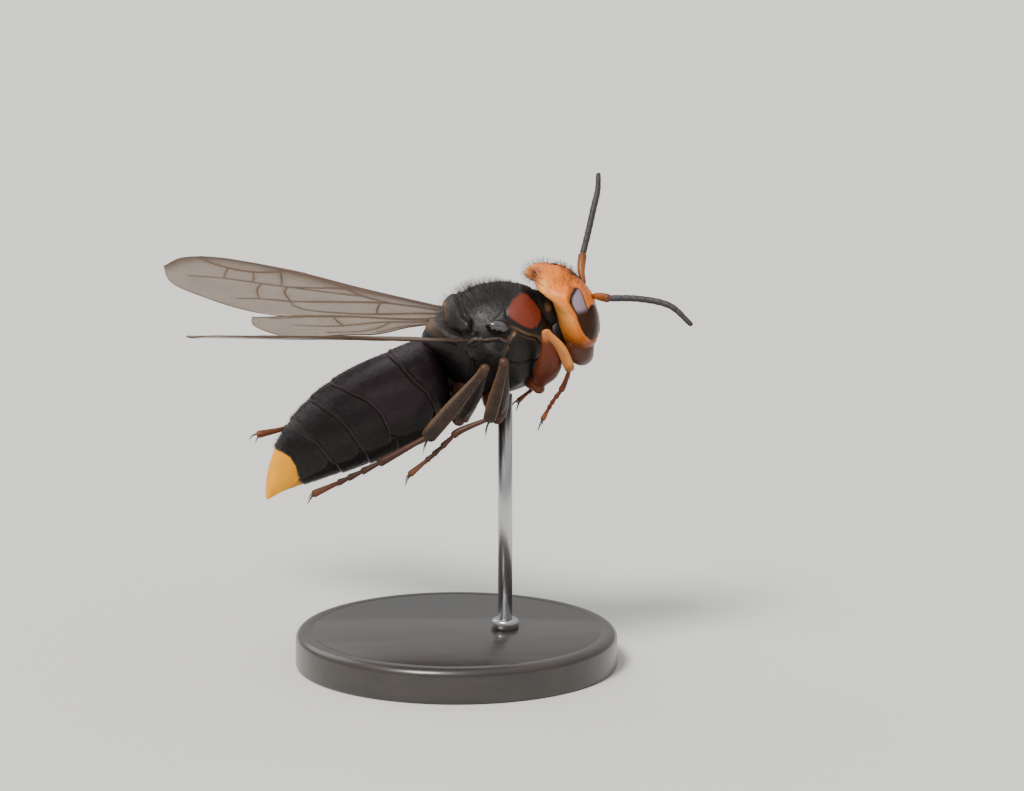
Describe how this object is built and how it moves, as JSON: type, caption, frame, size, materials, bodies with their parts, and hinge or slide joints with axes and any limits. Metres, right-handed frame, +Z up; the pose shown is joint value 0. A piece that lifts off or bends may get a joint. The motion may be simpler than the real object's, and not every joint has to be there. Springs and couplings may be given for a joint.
{
  "type": "giant hornet in flight, life-size display model",
  "caption": "Still, life-size model of a black giant hornet with an orange head and yellow tail tip, flying with its feet trailing, held up by a thin rod on a round base.",
  "frame": {"origin": "on the underside of the round base, at its middle; the table is z = 0", "axes": "+Z up; the hornet's face looks along -Y and its tail along +Y; its left side is +X"},
  "size_m": [0.037, 0.0428, 0.0402],
  "materials": {
    "black_shell": "near-black insect shell with a soft gloss and a faint purple cast",
    "orange_shell": "orange insect shell, softly glossy",
    "yellow_shell": "egg-yellow insect shell, softly glossy",
    "eye": "dark brown, glossy compound eye",
    "leg_shell": "dark brown insect shell, softly glossy",
    "antenna_shell": "dull grey-brown feeler shell",
    "wing_membrane": "smoky brown, clear in life",
    "stand_wood": "black lacquered wood, satin",
    "stand_steel": "plain steel rod"
  },
  "bodies": {
    "root": {"head": "orange_shell", "eye_left": "eye", "eye_right": "eye", "mandible_left": "orange_shell", "mandible_right": "orange_shell", "antenna_left_scape": "leg_shell", "antenna_left_flagellum": "antenna_shell", "antenna_right_scape": "leg_shell", "antenna_right_flagellum": "antenna_shell", "pronotum": "black_shell", "mesothorax": "black_shell", "propodeum": "black_shell", "tegula_left": "black_shell", "tegula_right": "black_shell", "abdomen_1": "black_shell", "abdomen_2": "black_shell", "abdomen_3": "black_shell", "abdomen_4": "black_shell", "abdomen_5": "black_shell", "abdomen_6": "yellow_shell", "forewing_left": "wing_membrane", "forewing_right": "wing_membrane", "hindwing_left": "wing_membrane", "hindwing_right": "wing_membrane", "leg_fore_left_coxa": "orange_shell", "leg_fore_left_femur": "orange_shell", "leg_fore_left_tibia": "orange_shell", "leg_fore_left_tarsus": "orange_shell", "leg_fore_right_coxa": "orange_shell", "leg_fore_right_femur": "orange_shell", "leg_fore_right_tibia": "orange_shell", "leg_fore_right_tarsus": "orange_shell", "leg_mid_left_coxa": "leg_shell", "leg_mid_left_femur": "leg_shell", "leg_mid_left_tibia": "leg_shell", "leg_mid_left_tarsus": "leg_shell", "leg_mid_right_coxa": "leg_shell", "leg_mid_right_femur": "leg_shell", "leg_mid_right_tibia": "leg_shell", "leg_mid_right_tarsus": "leg_shell", "leg_hind_left_coxa": "leg_shell", "leg_hind_left_femur": "leg_shell", "leg_hind_left_tibia": "leg_shell", "leg_hind_left_tarsus": "leg_shell", "leg_hind_right_coxa": "leg_shell", "leg_hind_right_femur": "leg_shell", "leg_hind_right_tibia": "leg_shell", "leg_hind_right_tarsus": "leg_shell", "stand_base": "stand_wood", "stand_rod": "stand_steel"}
  },
  "joints": []
}
